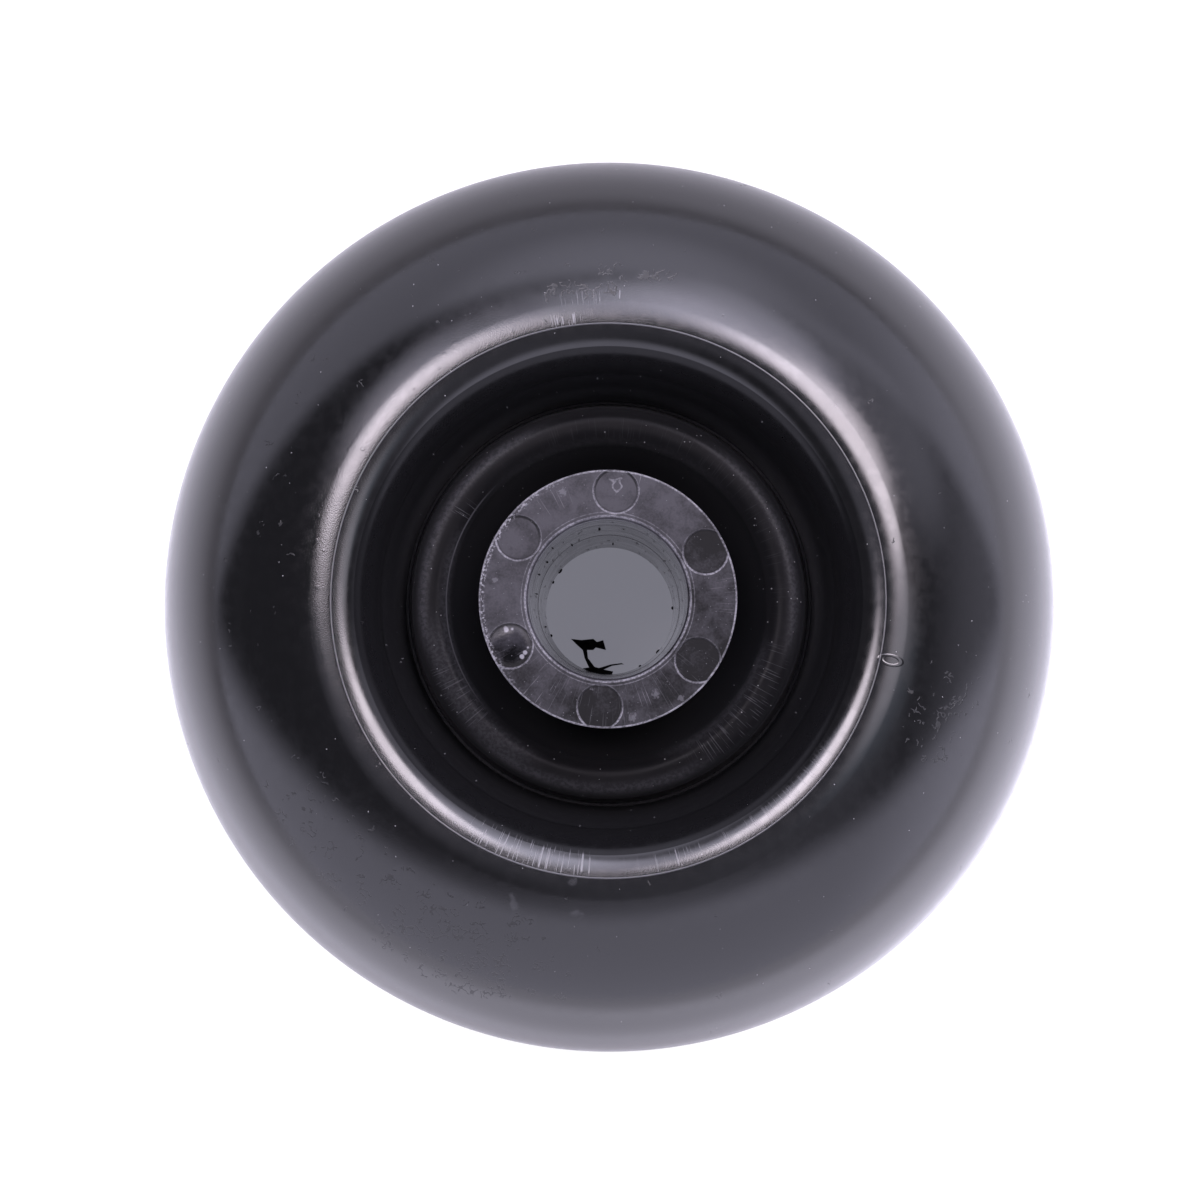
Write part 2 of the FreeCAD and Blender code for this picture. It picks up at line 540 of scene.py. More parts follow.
def new_material(name):
    """A material with its tree, its Principled shader and the place round the axis."""
    made = bpy.data.materials.new(name)
    made.use_nodes = True
    tree = made.node_tree
    position = put(tree, "ShaderNodeTexCoord").outputs["Object"]
    return made, tree, tree.nodes["Principled BSDF"], use(tree, round_axis, {"Position": position})


# %% [markdown]
# A single mark, such as a smudge, a scuffed patch or a painted glint, is a soft spot round a centre. A real
# smudge has no even edge, so a noise, given by the caller, pushes its rim in and out.

# %% Node group: soft spot
SPOT_RAGGEDNESS = 0.4
SPOT_CORE = 0.45
soft_spot, given = new_group(
    "soft_spot",
    (("Place", VECTOR), ("Centre", VECTOR), ("Reach", FLOAT), ("Ragged", FLOAT)),
    (("Mask", FLOAT),),
)
away = vector_sum(soft_spot, "DISTANCE", {0: given["Place"], 1: given["Centre"]}, "Value")
share = sum_up(soft_spot, "DIVIDE", away, given["Reach"])
pushed = fade(soft_spot, given["Ragged"], 0.0, 1.0, -SPOT_RAGGEDNESS, SPOT_RAGGEDNESS)
share = sum_up(soft_spot, "ADD", share, pushed)
put(soft_spot, "NodeGroupOutput", {"Mask": fade(soft_spot, share, 1.0, SPOT_CORE)})
print("node group:", soft_spot.name)

# %% [markdown]
# Fine scratches are the crests of a noise that is stretched along the scratch. The caller gives the two
# directions, so the same group draws strokes out from the axis, round it or along the bore.

# %% Node group: fine scratches
SCRATCH_DETAIL = 1.5
FEWEST_FROM = 0.76
MOST_FROM = 0.5
CREST_EDGE = 0.06
fine_scratches, given = new_group(
    "fine_scratches",
    (("Across", FLOAT), ("Along", FLOAT), ("Amount", FLOAT)),
    (("Mask", FLOAT),),
)
stretched = put(fine_scratches, "ShaderNodeCombineXYZ", {"X": given["Across"], "Y": given["Along"]})
crests = noise(fine_scratches, stretched.outputs["Vector"], 1.0, SCRATCH_DETAIL, dimensions="2D")
start = fade(fine_scratches, given["Amount"], 0.0, 1.0, FEWEST_FROM, MOST_FROM)
end = sum_up(fine_scratches, "ADD", start, CREST_EDGE)
put(fine_scratches, "NodeGroupOutput", {"Mask": fade(fine_scratches, crests, start, end)})
print("node group:", fine_scratches.name)

# %% [markdown]
# Dust is a scatter of separate grains. A Voronoi texture gives one point in each cell with a random colour:
# the colour decides whether the cell has a grain at all and how large it is. With a wide spacing, the same
# scatter serves for small blisters in the plastic. Dust falls from above, so the scatter is laid out flat, as
# seen from there.

# %% Node group: scattered grains
SMALLEST_GRAIN = 0.08
LARGEST_GRAIN = 0.24
GRAIN_CORE = 0.55
scattered_grains, given = new_group(
    "scattered_grains",
    (("Place", VECTOR), ("Spacing", FLOAT), ("Amount", FLOAT)),
    (("Mask", FLOAT),),
)
spread = sum_up(scattered_grains, "DIVIDE", 1.0, given["Spacing"])
spaced = vector_sum(scattered_grains, "SCALE", {0: given["Place"], "Scale": spread})
cells = put(
    scattered_grains, "ShaderNodeTexVoronoi", {"Vector": spaced, "Scale": 1.0}, voronoi_dimensions="2D"
).outputs
chance = put(scattered_grains, "ShaderNodeSeparateColor", {"Color": cells["Color"]}).outputs
rim = fade(scattered_grains, chance["Red"], 0.0, 1.0, SMALLEST_GRAIN, LARGEST_GRAIN)
core = sum_up(scattered_grains, "MULTIPLY", rim, GRAIN_CORE)
grain = fade(scattered_grains, cells["Distance"], rim, core)
there = sum_up(scattered_grains, "LESS_THAN", chance["Green"], given["Amount"])
put(scattered_grains, "NodeGroupOutput", {"Mask": sum_up(scattered_grains, "MULTIPLY", grain, there)})
print("node group:", scattered_grains.name)

# %% [markdown]
# The skin of a moulding is never quite even. One noise gives its grain, and a wider one gives the clouds in
# which grain, haze and wear come and go.

# %% Node group: moulded skin
CLOUD_SCALE = 0.1
SKIN_DETAIL = 2.0
SKIN_ROUGHNESS = 0.6
GRAIN_RANGE = (0.25, 0.75)
CLOUD_RANGE = (0.35, 0.65)
moulded_skin, given = new_group(
    "moulded_skin",
    (("Place", VECTOR), ("Size", FLOAT)),
    (("Grain", FLOAT), ("Cloud", FLOAT)),
)
fineness = sum_up(moulded_skin, "DIVIDE", 1.0, given["Size"])
scaled = vector_sum(moulded_skin, "SCALE", {0: given["Place"], "Scale": fineness})
grain = noise(moulded_skin, scaled, 1.0, SKIN_DETAIL, SKIN_ROUGHNESS)
cloud = noise(moulded_skin, scaled, CLOUD_SCALE, SKIN_DETAIL, SKIN_ROUGHNESS)
put(moulded_skin, "NodeGroupOutput", {
    "Grain": fade(moulded_skin, grain, *GRAIN_RANGE),
    "Cloud": fade(moulded_skin, cloud, *CLOUD_RANGE),
})
print("node group:", moulded_skin.name)

# %% [markdown]
# Where plastic is scuffed hard, its skin folds into short curly wrinkles. A line of equal height in a noise
# curls in the same way, and a second noise breaks it into pieces.

# %% Node group: wrinkle lines
FOLD_LEVEL = 0.5
FOLD_HALF_WIDTH = 0.04
WRINKLE_DETAIL = 1.0
PIECES_SCALE = 0.45
PIECES_EDGE = 0.06
NO_PIECES_FROM = 0.8
MOST_PIECES_FROM = 0.35
wrinkle_lines, given = new_group(
    "wrinkle_lines",
    (("Place", VECTOR), ("Size", FLOAT), ("Amount", FLOAT)),
    (("Mask", FLOAT),),
)
fineness = sum_up(wrinkle_lines, "DIVIDE", 1.0, given["Size"])
scaled = vector_sum(wrinkle_lines, "SCALE", {0: given["Place"], "Scale": fineness})
folds = noise(wrinkle_lines, scaled, 1.0, WRINKLE_DETAIL, dimensions="2D")
pieces = noise(wrinkle_lines, scaled, PIECES_SCALE, WRINKLE_DETAIL, dimensions="2D")
line = circle(wrinkle_lines, folds, FOLD_LEVEL, FOLD_HALF_WIDTH)
start = fade(wrinkle_lines, given["Amount"], 0.0, 1.0, NO_PIECES_FROM, MOST_PIECES_FROM)
shown = fade(wrinkle_lines, pieces, start, sum_up(wrinkle_lines, "ADD", start, PIECES_EDGE))
put(wrinkle_lines, "NodeGroupOutput", {"Mask": sum_up(wrinkle_lines, "MULTIPLY", line, shown)})
print("node group:", wrinkle_lines.name)

# %% [markdown]
# A few masks are used over and over: a stretch of a ring, soft spots, strokes, stretches for scratches and a
# painted sheen, and dust. At the end each material gives its shader the same few things, so one function
# dresses them all.

# %% Mask helpers
MICROMETRE = 1e-6
PLASTIC_IOR = 1.6
FULL_SPECULAR = 0.5
STRETCH_FOOT = 1.3
STRETCH_TOP = 0.7
HALF_TURN = 180.0
DUST_HEIGHTS = (44.0, 54.0)
DUST_SPACING = 0.45


def on_upper_side(tree, at, mask):
    """A mask kept to the upper side of the wheel."""
    return sum_up(tree, "MULTIPLY", mask, sum_up(tree, "GREATER_THAN", at["Height"], hub_height))


def stretch(tree, at, angle, half_angle, near, far, softness=0.4, strength=1.0):
    """Mask of a stretch round an angle in degrees, between two radii in millimetres."""
    nearest = (angle + HALF_TURN) % (2 * HALF_TURN) - HALF_TURN
    widest = STRETCH_FOOT * half_angle
    off = sum_up(tree, "SUBTRACT", at["Angle"], nearest)
    # Only a stretch across the seam at half a turn needs its angle wrapped. Each node less saves time.
    if abs(nearest) + widest > HALF_TURN:
        off = sum_up(tree, "WRAP", off, HALF_TURN, -HALF_TURN)
    turned = fade(tree, sum_up(tree, "ABSOLUTE", off), widest, STRETCH_TOP * half_angle, 0.0, strength)
    inner = fade(tree, at["Radius"], near - softness, near + softness)
    outer = fade(tree, at["Radius"], far + softness, far - softness)
    return chain(tree, "MULTIPLY", (turned, inner, outer))


def spots(tree, at, ragged, places):
    """Mask of soft spots, such as smudges or painted glints, given as (x, y, z, reach) in millimetres."""
    masks = []
    for x, y, z, reach in places:
        spot = {"Place": at["Place"], "Centre": (x, y, z), "Reach": reach, "Ragged": ragged}
        masks.append(use(tree, soft_spot, spot)["Mask"])
    return chain(tree, "MAXIMUM", masks)


def sheen(tree, at, stretches, softness=0.4):
    """Mask of stretches of the upper side: (angle, half angle, from radius, to radius, strength) each."""
    masks = []
    for angle, half_angle, near, far, strength in stretches:
        masks.append(stretch(tree, at, angle, half_angle, near, far, softness, strength))
    return on_upper_side(tree, at, chain(tree, "MAXIMUM", masks))


def strokes_across(tree, at, stretches, across, along, amount):
    """Mask of strokes out from the axis, on stretches given as for a sheen.

    Their noise changes by across in a degree round the axis and by along in a millimetre outwards.
    """
    strokes = use(tree, fine_scratches, {
        "Across": sum_up(tree, "MULTIPLY", at["Angle"], across),
        "Along": sum_up(tree, "MULTIPLY", at["Radius"], along),
        "Amount": amount,
    })["Mask"]
    return sum_up(tree, "MULTIPLY", strokes, sheen(tree, at, stretches))


def grains(tree, at, spacing, amount):
    """Mask of scattered grains, with a spacing in millimetres."""
    scatter = {"Place": at["Place"], "Spacing": spacing, "Amount": amount}
    return use(tree, scattered_grains, scatter)["Mask"]


def settled_dust(tree, at, amount):
    """Mask of dust on what lies high enough on the wheel to face up."""
    high_enough = fade(tree, at["Height"], *DUST_HEIGHTS)
    return sum_up(tree, "MULTIPLY", grains(tree, at, DUST_SPACING, amount), high_enough)


def dress(tree, shader, colour, roughness, height, ior=PLASTIC_IOR, specular=FULL_SPECULAR):
    """Give a shader its colour, its roughness, a relief in micrometres, and how strongly it mirrors."""
    tree.links.new(colour, shader.inputs["Base Color"])
    tree.links.new(roughness, shader.inputs["Roughness"])
    shader.inputs["IOR"].default_value = ior
    shader.inputs["Specular IOR Level"].default_value = specular
    relief = put(tree, "ShaderNodeBump", {"Height": height, "Distance": MICROMETRE, "Strength": 1.0})
    tree.links.new(relief.outputs["Normal"], shader.inputs["Normal"])


# %% [markdown]
# The tread and lips came out of a polished mould: almost black, and shiny enough to mirror the studio. Wear
# shows as strokes across the lip where something was dragged over it, pale smudges and a little dust. The
# bead of the lip line is painted paler too, as a painted highlight. Scratched plastic turns paler and duller,
# so one mask drives both colour and roughness, and the painted highlight rides on it.

# %% Gloss plastic: ground and wear
TREAD_COLOUR = (0.0025, 0.0025, 0.0029, 1)
WEAR_AND_HIGHLIGHT_COLOUR = (0.16, 0.16, 0.172, 1)
DUST_COLOUR = (0.16, 0.16, 0.165, 1)
WALL_COLOUR = (0.0068, 0.0068, 0.0075, 1)
TREAD_ROUGHNESS = 0.14
WALL_ROUGHNESS = 0.33
WORN_ROUGHNESS = 0.55
# low, high, to_low and to_high of a fade
CLOUDED_ROUGHNESS = (0, 1, -0.02, 0.03)
TREAD_SKIN = 0.17
WALL_FADE = 4.0
# across, along and amount of the strokes
LIP_STROKE = (3.2, 0.22, 0.55)
SCRATCH_SOFTNESS = 0.3
SMUDGE_STRENGTH = 0.1
LIP_LINE_HIGHLIGHT = 0.27
TREAD_DUST = 0.004
lip_line_radius = crest_radius - lip_line_inset
lip_stretches = (
    # angle, half angle, from radius, to radius, strength
    (98.5, 3.0, 36.1, 37.5, 1.0),
    (94.0, 5.0, 38.6, 40.4, 0.3),
    (252.0, 12.0, 32.8, 35.8, 0.5),
    (300.0, 25.0, 33.4, 35.8, 0.15),
)
single_scratches = (
    # angle, half angle, from radius, to radius, strength
    (97.0, 0.14, 36.3, 37.4, 0.9),
    (99.2, 0.12, 36.3, 37.2, 0.9),
    (100.3, 0.14, 36.4, 37.3, 0.8),
    (87.8, 0.12, 39.2, 40.4, 0.8),
    (255.4, 0.16, 33.0, 35.6, 0.8),
    (257.0, 0.12, 33.4, 35.6, 0.6),
    (264.4, 0.2, 33.0, 35.2, 0.8),
    (266.0, 0.12, 33.4, 35.4, 0.5),
    (285.0, 0.12, 33.4, 35.4, 0.5),
)
pale_smudges = (
    # x, y, z, reach
    (-12.42, -39.3, 65.16, 0.8),
    (-12.5, -38.2, 65.3, 0.7),
    (-4.01, -40.34, 65.28, 0.8),
    (-4.6, -36.2, 65.9, 0.6),
)
gloss, tree, shader, at = new_material("gloss_black_plastic")
skin = use(tree, moulded_skin, {"Place": at["Place"], "Size": TREAD_SKIN})
on_wall = fade(tree, at["Radius"], wall_end_radius + WALL_FADE, wall_end_radius)
ground_roughness = sum_up(
    tree,
    "ADD",
    between(tree, on_wall, TREAD_ROUGHNESS, WALL_ROUGHNESS),
    fade(tree, skin["Cloud"], *CLOUDED_ROUGHNESS),
)
scratched = sum_up(
    tree,
    "MAXIMUM",
    strokes_across(tree, at, lip_stretches, *LIP_STROKE),
    sheen(tree, at, single_scratches, SCRATCH_SOFTNESS),
)
smudged = sum_up(tree, "MULTIPLY", spots(tree, at, skin["Cloud"], pale_smudges), SMUDGE_STRENGTH)
# Painted highlight: a thin paler, duller line along the bead of the lip line.
on_lip_line = circle(tree, at["Radius"], lip_line_radius, lip_line_half_width)
lip_line_highlight = sum_up(tree, "MULTIPLY", on_lip_line, LIP_LINE_HIGHLIGHT)
wear_and_highlights = chain(tree, "MAXIMUM", (scratched, smudged, lip_line_highlight))
dust = settled_dust(tree, at, TREAD_DUST)
ground = blend(tree, on_wall, TREAD_COLOUR, WALL_COLOUR)
colour = blend(tree, dust, blend(tree, wear_and_highlights, ground, WEAR_AND_HIGHLIGHT_COLOUR), DUST_COLOUR)
print("gloss plastic:", len(lip_stretches), "scratched stretches,", len(pale_smudges), "smudges")

# %% [markdown]
# Relief, in micrometres: a fine grain on the outer shoulder that breaks up the edge of the highlights, small
# blisters on the upper left of the lip, wrinkled scuffs in several places on the tread, and one oval mark
# across the lip line. Each is too low to change the outline, so a bump is enough. Wrinkles are dull as well.

# %% Gloss plastic: relief
wrinkled_stretches = (
    # angle, half angle, from radius, to radius, strength
    (236.0, 30.0, 42.0, 54.0, 0.5),
    (246.0, 12.0, 44.0, 56.0, 0.68),
    (94.5, 8.0, 39.2, 41.8, 0.95),
    (84.0, 7.0, 41.2, 44.4, 0.75),
    (341.0, 8.0, 40.5, 52.0, 0.56),
    (130.0, 60.0, 41.0, 52.0, 0.28),
)
OVAL_ANGLE = -12.1
OVAL_RADIUS = 37.35
OVAL_HALF_LENGTH = 1.35
OVAL_HALF_WIDTH = 0.62
OVAL_LINE = 0.25
OVAL_HEIGHT = 22.0
# angle, half angle, from radius, to radius, softness
GRAINED_STRETCH = (180.0, 120.0, 34.5, 42.0, 1.2)
BLISTERED_STRETCH = (135.0, 45.0, 36.8, 39.6, 0.6)
BLISTER_SPACING = 1.5
BLISTER_AMOUNT = 0.35
BLISTER_HEIGHT = 9.0
TREAD_GRAIN = 0.3
SHOULDER_GRAIN = 6.0
WRINKLE_SIZE = 1.0
WRINKLE_SOFTNESS = 1.5
WRINKLE_DEPTH = 12.0
WRINKLE_DULLING = 0.9
grained = stretch(tree, at, *GRAINED_STRETCH)
blistered = stretch(tree, at, *BLISTERED_STRETCH)
blisters = grains(tree, at, BLISTER_SPACING, BLISTER_AMOUNT)
wrinkles = use(tree, wrinkle_lines, {
    "Place": at["Place"],
    "Size": WRINKLE_SIZE,
    "Amount": sheen(tree, at, wrinkled_stretches, WRINKLE_SOFTNESS),
})["Mask"]

oval_out = sum_up(tree, "DIVIDE", sum_up(tree, "SUBTRACT", at["Radius"], OVAL_RADIUS), OVAL_HALF_LENGTH)
oval_turn = sum_up(tree, "RADIANS", sum_up(tree, "SUBTRACT", at["Angle"], OVAL_ANGLE))
oval_side = sum_up(tree, "MULTIPLY", oval_turn, OVAL_RADIUS / OVAL_HALF_WIDTH)
oval_flat = put(tree, "ShaderNodeCombineXYZ", {"X": oval_out, "Y": oval_side}).outputs["Vector"]
oval = circle(tree, vector_sum(tree, "LENGTH", {0: oval_flat}, "Value"), 1.0, OVAL_LINE)

height = chain(tree, "ADD", (
    sum_up(tree, "MULTIPLY", skin["Grain"], between(tree, grained, TREAD_GRAIN, SHOULDER_GRAIN)),
    chain(tree, "MULTIPLY", (blisters, blistered, BLISTER_HEIGHT)),
    sum_up(tree, "MULTIPLY", wrinkles, -WRINKLE_DEPTH),
    sum_up(tree, "MULTIPLY", oval, OVAL_HEIGHT),
))
dulled = chain(tree, "MAXIMUM", (wear_and_highlights, dust, sum_up(tree, "MULTIPLY", wrinkles, WRINKLE_DULLING)))
roughness = between(tree, dulled, ground_roughness, WORN_ROUGHNESS)
dress(tree, shader, colour, roughness, height)
print("gloss plastic:", len(tree.nodes), "nodes")

# %% [markdown]
# The foot of the inner shoulder, where the polish of the mould ends, is the same plastic with less of a
# mirror. It is a copy of the gloss with a lower specular level, so wear runs on across the join.

# %% Foot of the inner shoulder
LIP_FOOT_WIDTH = 3.0
LIP_FOOT_SPECULAR = 0.18
lip_foot = gloss.copy()
lip_foot.name = "half_gloss_black_plastic"
shader = lip_foot.node_tree.nodes["Principled BSDF"]
shader.inputs["Specular IOR Level"].default_value = LIP_FOOT_SPECULAR
print("lip foot: %.2f mm wide" % LIP_FOOT_WIDTH)

# %% [markdown]
# The dish, up to the end of its wall, is dull and mirrors very little. Its two grooves are painted paler than
# the ring, as painted fill light that lifts their shade. The fill is strongest deep on the walls of the
# valley, at the foot of the ring and on the upper part of the outer wall, and leaves the narrow floor between
# them dark. The rounded shoulders of the ring carry a painted sheen, soft, patchy and uneven round the wheel,
# and a thin painted highlight runs along its inner edge at the left. Things dropped into the dish have
# scratched the ring.

# %% Dull dish
RING_COLOUR = (0.0055, 0.0055, 0.006, 1)
# The groove colours are paler than the ring: painted fill light that lifts the shade in the grooves.
GROOVE_COLOUR = (0.014, 0.014, 0.0152, 1)
THIN_FILL_COLOUR = (0.012, 0.012, 0.0128, 1)
THICK_FILL_COLOUR = (0.075, 0.075, 0.08, 1)
RING_FOOT_COLOUR = (0.065, 0.065, 0.07, 1)
SCRATCH_AND_SHEEN_COLOUR = (0.05, 0.05, 0.054, 1)
DISH_SKIN = 0.5
DISH_ROUGHNESS = (0, 1, 0.28, 0.34)
DISH_GRAIN = 2.0
DISH_SPECULAR = 0.04
DISH_DUST = 0.02
RING_EDGE_FROM = 1.5
RING_EDGE_TO = 0.5
FILLED_SIDE = (0.3, 0.95, 0.0)
FILLED_REACH = (-20.0, 26.0)
FILL_ABOVE_RING = 1.0
UNFILLED_FLOOR = (0.05, 0.4)
EDGE_HIGHLIGHT_HALF_WIDTH = 0.09
# angle, half angle, from radius, to radius
EDGE_HIGHLIGHT_STRETCH = (178.0, 38.0, 21.0, 23.0)
RING_STROKE = (2.2, 0.2, 0.5)
SHEEN_SOFTNESS = 0.8
SHEEN_PATCHES = (0.15, 0.85, 0.6, 1.25)
# Painted sheen on the rounded shoulders of the ring, stretch by stretch round the wheel.
sheen_stretches = (
    # angle, half angle, from radius, to radius, strength
    (155.0, 40.0, 24.55, 25.55, 0.6),
    (20.0, 34.0, 24.5, 25.5, 0.45),
    (262.0, 38.0, 24.6, 25.7, 0.42),
    (215.0, 28.0, 22.2, 25.2, 0.3),
    (318.0, 26.0, 21.3, 22.3, 0.35),
    (190.0, 34.0, 21.6, 22.6, 0.4),
    (90.0, 45.0, 20.4, 22.2, 0.14),
)
ring_stretches = (
    # angle, half angle, from radius, to radius, strength
    (322.0, 22.0, 22.0, 25.6, 0.6),
    (212.0, 12.0, 22.0, 25.6, 0.8),
    (147.0, 3.0, 21.8, 24.6, 0.8),
    (60.0, 60.0, 22.0, 25.0, 0.12),
)
dish, tree, shader, at = new_material("dull_dish")
skin = use(tree, moulded_skin, {"Place": at["Place"], "Size": DISH_SKIN})
past_edge = fade(tree, at["Radius"], ring_inner_radius - RING_EDGE_FROM, ring_inner_radius + RING_EDGE_TO)
before_edge = fade(tree, at["Radius"], ring_outer_radius + RING_EDGE_TO, ring_outer_radius - RING_EDGE_FROM)
on_ring = sum_up(tree, "MULTIPLY", past_edge, before_edge)
from_middle = sum_up(tree, "ABSOLUTE", sum_up(tree, "SUBTRACT", at["Height"], hub_height))
beyond_ring = sum_up(tree, "GREATER_THAN", at["Radius"], ring_outer_radius)
on_outer_wall = sum_up(tree, "GREATER_THAN", at["Radius"], (valley_inner_radius + valley_outer_radius) / 2)
# Painted fill light: paler deep in the valley and on the upper side of the outer wall.
to_top = vector_sum(tree, "DOT_PRODUCT", {0: at["Place"], 1: FILLED_SIDE}, "Value")
wall_fill = blend(tree, fade(tree, to_top, *FILLED_REACH), THIN_FILL_COLOUR, THICK_FILL_COLOUR)
valley_fill = blend(tree, on_outer_wall, RING_FOOT_COLOUR, wall_fill)
depth = fade(tree, from_middle, ring_height + FILL_ABOVE_RING, valley_height)
depth = sum_up(tree, "MULTIPLY", depth, beyond_ring)
above_floor = fade(tree, sum_up(tree, "SUBTRACT", from_middle, valley_height), *UNFILLED_FLOOR)
groove = blend(tree, sum_up(tree, "MULTIPLY", depth, above_floor), GROOVE_COLOUR, valley_fill)
ground = blend(tree, on_ring, groove, RING_COLOUR)
# Painted highlight along the inner edge of the ring at the left.
edge_highlight = circle(tree, at["Radius"], ring_inner_radius, EDGE_HIGHLIGHT_HALF_WIDTH)
edge_highlight = sum_up(tree, "MULTIPLY", edge_highlight, stretch(tree, at, *EDGE_HIGHLIGHT_STRETCH))
# Scratches on the ring, its painted sheen and the painted highlight on its inner edge share one paler colour.
patchy = fade(tree, skin["Grain"], *SHEEN_PATCHES)
scratches_and_sheen = chain(tree, "MAXIMUM", (
    strokes_across(tree, at, ring_stretches, *RING_STROKE),
    sum_up(tree, "MULTIPLY", sheen(tree, at, sheen_stretches, SHEEN_SOFTNESS), patchy),
    edge_highlight,
))
dust = settled_dust(tree, at, DISH_DUST)
colour = blend(tree, dust, blend(tree, scratches_and_sheen, ground, SCRATCH_AND_SHEEN_COLOUR), DUST_COLOUR)
roughness = fade(tree, skin["Cloud"], *DISH_ROUGHNESS)
height = sum_up(tree, "MULTIPLY", skin["Grain"], DISH_GRAIN)
dress(tree, shader, colour, roughness, height, specular=DISH_SPECULAR)
print("dull dish:", len(tree.nodes), "nodes")

# %% [markdown]
# The hub end rubs on a washer, so it has lost its shine: a hazy bluish grey with clouds, fine strokes out
# from the axis, and bright worn edges. The pin marks repeat every 60 degrees, so they are drawn once, in a
# place that is folded back to the nearest mark.

# %% Satin hub end: the pin marks
HUB_DARK = (0.001, 0.001, 0.0014, 1)
HUB_PALE = (0.038, 0.037, 0.043, 1)
HUB_WEAR_AND_GLINT = (0.2, 0.197, 0.215, 1)
MELTED_PIN = 3
LOOP_CENTRE = (1.15, 14.4, 69.8)
LOOP_RADIUS = 1.55
LOOP_LINE = 0.1
MELTED_REACH = 3.4
EVEN_EDGE = 0.5
HUB_SKIN = 0.3
HUB_MOTTLING = 0.9
PIN_EDGE = 0.2
LOWER_SIDE = (1.8, -1.0)
# radius and half width of a line along the rim
RIM_WEAR_AND_HIGHLIGHT = (pin_mark_radius + 0.06, 0.13)
RIM_HIGHLIGHT_STRENGTH = (0, 1, 0.2, 1.0)
RIM_SHADE = (pin_mark_radius - 0.1, 0.17)
RIM_SHADE_STRENGTH = (0, 1, 0.9, 0.3)
satin, tree, shader, at = new_material("satin_hub_end")
skin = use(tree, moulded_skin, {"Place": at["Place"], "Size": HUB_SKIN})
mottled = use(tree, moulded_skin, {"Place": at["Place"], "Size": HUB_MOTTLING})

step = 360 / PIN_MARK_COUNT
from_first = sum_up(tree, "SUBTRACT", at["Angle"], first_pin_mark_angle)
folded = sum_up(tree, "RADIANS", sum_up(tree, "WRAP", from_first, step / 2, -step / 2))
pin_out = sum_up(tree, "MULTIPLY", at["Radius"], sum_up(tree, "COSINE", folded))
pin_out = sum_up(tree, "SUBTRACT", pin_out, pin_mark_pitch)
pin_side = sum_up(tree, "MULTIPLY", at["Radius"], sum_up(tree, "SINE", folded))
pin_flat = put(tree, "ShaderNodeCombineXYZ", {"X": pin_out, "Y": pin_side}).outputs["Vector"]
from_pin = vector_sum(tree, "LENGTH", {0: pin_flat}, "Value")
in_pin = on_upper_side(tree, at, fade(tree, from_pin, pin_mark_radius, pin_mark_radius - PIN_EDGE))

pin_angle = sum_up(tree, "SUBTRACT", sum_up(tree, "RADIANS", at["Angle"]), folded)
pin_y = sum_up(tree, "MULTIPLY", sum_up(tree, "SINE", pin_angle), pin_mark_pitch)
y = put(tree, "ShaderNodeSeparateXYZ", {"Vector": at["Place"]}).outputs["Y"]
lower = fade(tree, sum_up(tree, "SUBTRACT", y, pin_y), *LOWER_SIDE)
# Painted highlight: each pin mark's rim is a little paler all round, as a worn rim, and painted much brighter
# on its lower side.
rim_wear_and_highlight = on_upper_side(tree, at, circle(tree, from_pin, *RIM_WEAR_AND_HIGHLIGHT))
rim_wear_and_highlight = sum_up(tree, "MULTIPLY", rim_wear_and_highlight, fade(tree, lower, *RIM_HIGHLIGHT_STRENGTH))
# Painted shade: a dark line inside the upper wall of each pin mark.
painted_rim_shade = on_upper_side(tree, at, circle(tree, from_pin, *RIM_SHADE))
painted_rim_shade = sum_up(tree, "MULTIPLY", painted_rim_shade, fade(tree, lower, *RIM_SHADE_STRENGTH))
melted_place = round_place(pin_mark_pitch, first_pin_mark_angle + (MELTED_PIN - 1) * step)
melted = spots(tree, at, EVEN_EDGE, ((melted_place.x, melted_place.y, hub_top, MELTED_REACH),))
from_loop = vector_sum(tree, "DISTANCE", {0: at["Place"], 1: LOOP_CENTRE}, "Value")
loop = circle(tree, sum_up(tree, "ADD", from_loop, skin["Cloud"]), LOOP_RADIUS, LOOP_LINE)
print("satin hub end: pin marks drawn with", len(tree.nodes), "nodes")

# %% [markdown]
# The wear of the hub end, with painted glints: strokes where grit was dragged outwards, painted glints along
# the chipped left edge and in the melted pin mark, worn lines on the hub's edge and round the mouth of the
# bore, a few smudges and fine specks. The rims of the pin marks join them: worn, with a painted highlight on
# their lower side. Grain and clouds of the skin break up the lines.

# %% Satin hub end: wear
hub_strokes = (
    # angle, half angle, from radius, to radius, strength
    (262.0, 62.0, 11.2, 16.3, 0.13),
    (2.0, 12.0, 13.2, 16.3, 0.16),
    (74.0, 1.4, 14.4, 16.3, 0.7),
    (232.5, 6.0, 13.0, 16.3, 0.4),
    (292.0, 5.0, 12.6, 16.3, 0.4),
    (120.0, 10.0, 13.0, 15.4, 0.25),
)
hub_smudges = (
    # x, y, z, reach
    (-14.39, 2.4, 70.0, 0.4),
    (6.12, -12.12, 70.0, 0.6),
    (9.3, -12.63, 70.0, 0.5),
    (3.19, -15.04, 70.0, 0.6),
    (-5.86, 13.64, 70.0, 0.6),
    (-2.02, -11.48, 70.0, 0.3),
)
# Painted glints in the melted pin mark.
pin_glints = (
    # x, y, z, reach
    (-12.9, -3.95, 69.8, 0.5),
    (-12.2, -3.85, 69.8, 0.42),
    (-10.2, -6.2, 69.8, 0.32),
    (-10.5, -6.8, 69.8, 0.36),
    (-11.0, -7.35, 69.8, 0.34),
)
HUB_STROKE = (1.5, 0.14, 0.45)
